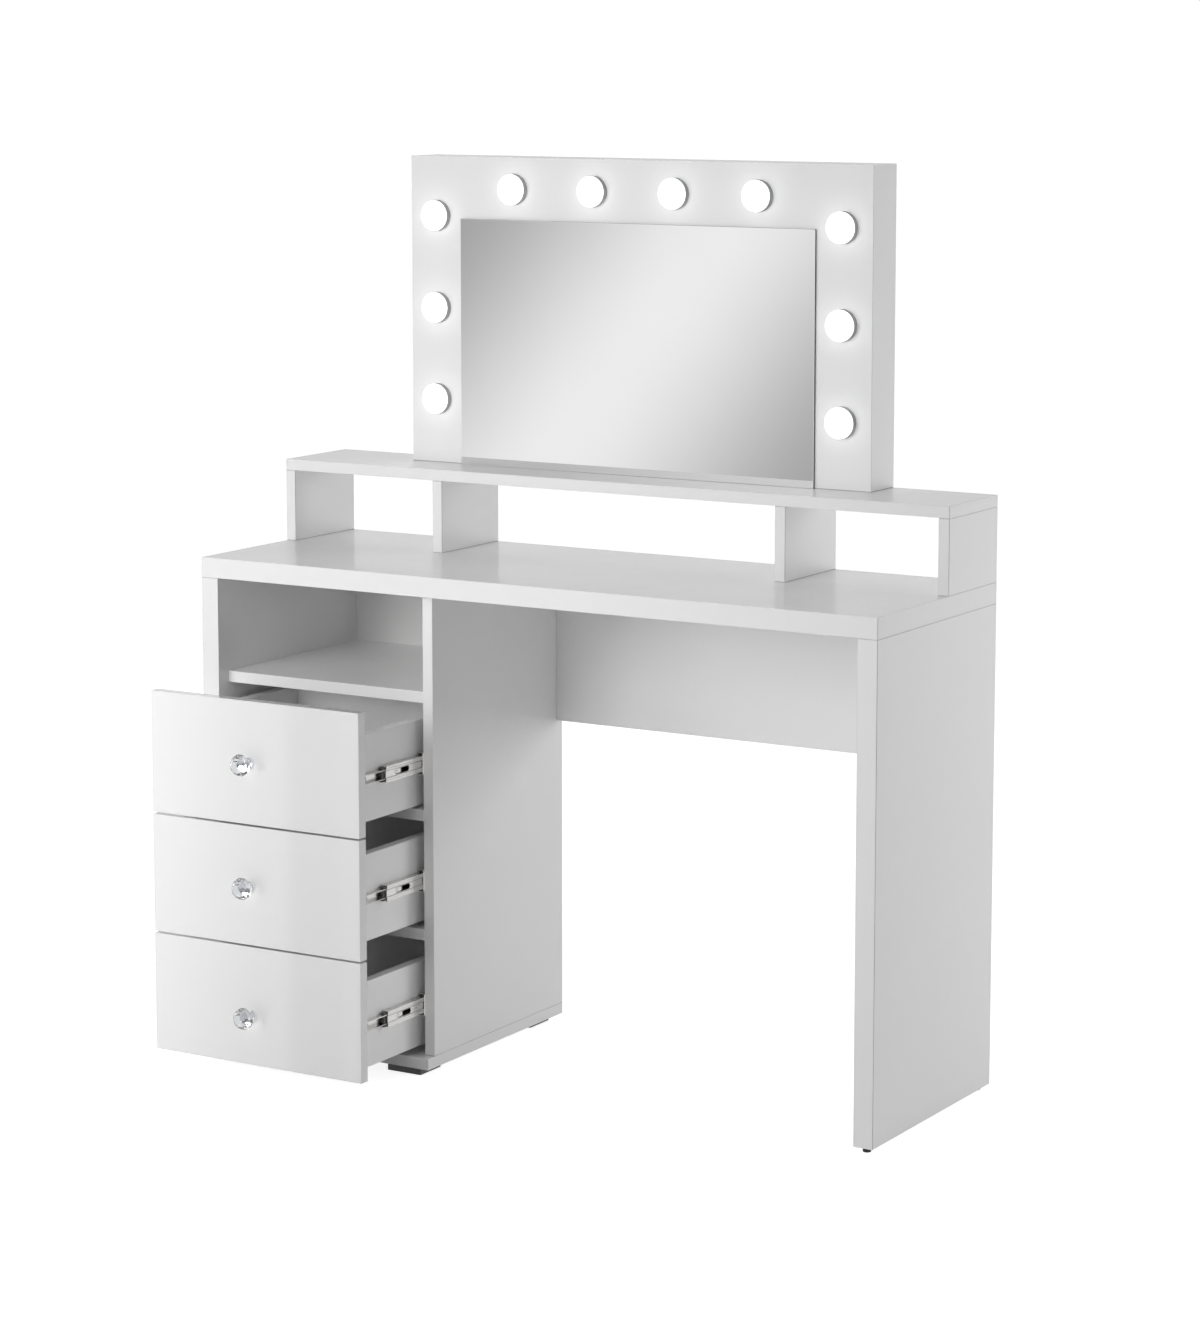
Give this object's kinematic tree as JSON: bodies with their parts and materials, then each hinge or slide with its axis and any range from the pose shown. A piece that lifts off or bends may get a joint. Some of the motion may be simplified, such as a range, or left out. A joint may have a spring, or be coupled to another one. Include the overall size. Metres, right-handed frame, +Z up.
{
  "type": "dressing table with mirror",
  "caption": "White dressing table with a drawer pedestal, open niche and knee space, a raised back shelf and a mirror box with round lamps beside its glass; drawers slide on rails.",
  "frame": {"origin": "on the floor, below the middle of the object's box with the drawers open as pictured", "axes": "+Z up, the front with the drawers towards -Y, +X to the right seen from the front"},
  "size_m": [1.2, 0.611, 1.419],
  "materials": {
    "white_lacquer": "white gloss lacquered board",
    "sheet_white": "thin white faced sheet",
    "mirror_glass": "silvered glass",
    "lamp_silver": "silver grey lamp skirt",
    "lamp_white": "white lamp diffuser, lit",
    "cable_white": "flat cable",
    "driver_grey": "lamp driver case",
    "inlet_black": "power inlet",
    "screw_steel": "zinc plated screw",
    "foot_grey": "dark grey foot",
    "glide_black": "black glide",
    "dowel_wood": "beech dowel",
    "rail_steel": "zinc plated rolled steel",
    "knob_chrome": "polished metal",
    "crystal": "cut clear crystal"
  },
  "bodies": {
    "carcass": {"table_top": "white_lacquer", "left_side_panel": "white_lacquer", "right_side_panel": "white_lacquer", "partition_panel": "white_lacquer", "pedestal_bottom": "white_lacquer", "niche_shelf": "white_lacquer", "upper_divider": "white_lacquer", "lower_divider": "white_lacquer", "pedestal_back": "white_lacquer", "modesty_panel": "white_lacquer", "hutch_shelf": "white_lacquer", "hutch_left_end": "white_lacquer", "hutch_left_support": "white_lacquer", "hutch_right_support": "white_lacquer", "hutch_right_end": "white_lacquer", "mirror_front_panel": "white_lacquer", "mirror_box_left": "white_lacquer", "mirror_box_right": "white_lacquer", "mirror_box_top": "white_lacquer", "mirror_box_bottom": "white_lacquer", "mirror_back_panel": "white_lacquer", "mirror_glass": "mirror_glass", "lamp_skirts": "lamp_silver", "lamp_diffusers": "lamp_white", "lamp_wiring": "cable_white", "led_driver": "driver_grey", "power_inlet": "inlet_black", "mirror_fixing_screws": "screw_steel", "pedestal_feet": "foot_grey", "panel_glides": "glide_black", "assembly_dowels": "dowel_wood", "cabinet_rails": "rail_steel"},
    "upper_drawer": {"upper_drawer_front": "white_lacquer", "upper_drawer_left_side": "white_lacquer", "upper_drawer_right_side": "white_lacquer", "upper_drawer_rear": "white_lacquer", "upper_drawer_bottom": "sheet_white", "upper_knob_base": "knob_chrome", "upper_knob_crystal": "crystal", "upper_drawer_rails": "rail_steel"},
    "upper_rail_members": {"upper_middle_rails": "rail_steel"},
    "middle_drawer": {"middle_drawer_front": "white_lacquer", "middle_drawer_left_side": "white_lacquer", "middle_drawer_right_side": "white_lacquer", "middle_drawer_rear": "white_lacquer", "middle_drawer_bottom": "sheet_white", "middle_knob_base": "knob_chrome", "middle_knob_crystal": "crystal", "middle_drawer_rails": "rail_steel"},
    "middle_rail_members": {"middle_middle_rails": "rail_steel"},
    "lower_drawer": {"lower_drawer_front": "white_lacquer", "lower_drawer_left_side": "white_lacquer", "lower_drawer_right_side": "white_lacquer", "lower_drawer_rear": "white_lacquer", "lower_drawer_bottom": "sheet_white", "lower_knob_base": "knob_chrome", "lower_knob_crystal": "crystal", "lower_drawer_rails": "rail_steel"},
    "lower_rail_members": {"lower_middle_rails": "rail_steel"}
  },
  "joints": [
    {"name": "upper_drawer_slide", "type": "slide", "parent": "carcass", "child": "upper_drawer", "axis": [0, -1, 0], "range_m": [-0.179, 0.161]},
    {"name": "upper_rail_slide", "type": "slide", "parent": "carcass", "child": "upper_rail_members", "axis": [0, -1, 0], "range_m": [-0.1003, 0.0902]},
    {"name": "middle_drawer_slide", "type": "slide", "parent": "carcass", "child": "middle_drawer", "axis": [0, -1, 0], "range_m": [-0.179, 0.161]},
    {"name": "middle_rail_slide", "type": "slide", "parent": "carcass", "child": "middle_rail_members", "axis": [0, -1, 0], "range_m": [-0.1003, 0.0902]},
    {"name": "lower_drawer_slide", "type": "slide", "parent": "carcass", "child": "lower_drawer", "axis": [0, -1, 0], "range_m": [-0.179, 0.161]},
    {"name": "lower_rail_slide", "type": "slide", "parent": "carcass", "child": "lower_rail_members", "axis": [0, -1, 0], "range_m": [-0.1003, 0.0902]}
  ],
  "couplings": [
    {"joint": "upper_rail_slide", "follows": "upper_drawer_slide", "ratio": 0.56},
    {"joint": "middle_rail_slide", "follows": "middle_drawer_slide", "ratio": 0.56},
    {"joint": "lower_rail_slide", "follows": "lower_drawer_slide", "ratio": 0.56}
  ]
}
